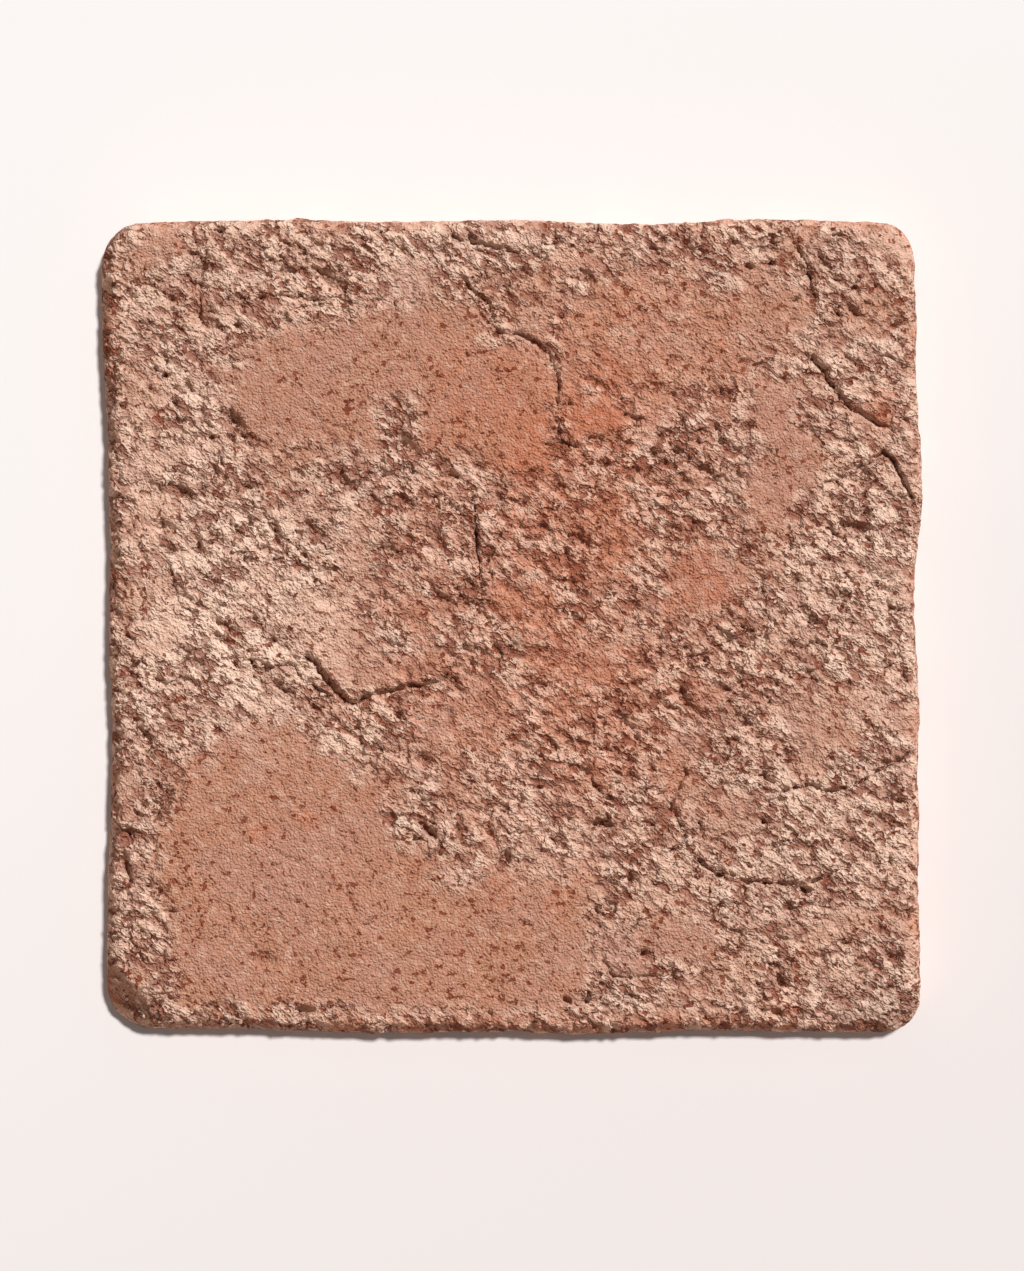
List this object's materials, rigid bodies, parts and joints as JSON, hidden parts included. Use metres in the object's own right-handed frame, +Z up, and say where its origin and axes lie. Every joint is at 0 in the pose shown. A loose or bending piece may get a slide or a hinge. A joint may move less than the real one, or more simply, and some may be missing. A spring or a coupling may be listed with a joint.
{
  "type": "terracotta floor tile",
  "caption": "Square hand-made terracotta floor tile, 30 cm, with a worn, torn and pitted face, wavy sides and broken corners.",
  "frame": {"origin": "on the bed, under the middle of the outline", "axes": "+Z up through the thickness, from the bed to the worn face; +Y towards the far edge, the top of the picture"},
  "size_m": [0.3008, 0.2984, 0.0217],
  "materials": {
    "terracotta": "unglazed fired clay, matt, worn and pitted, from pale pink-buff to orange-red"
  },
  "bodies": {
    "root": {"floor_tile": "terracotta"}
  },
  "joints": []
}
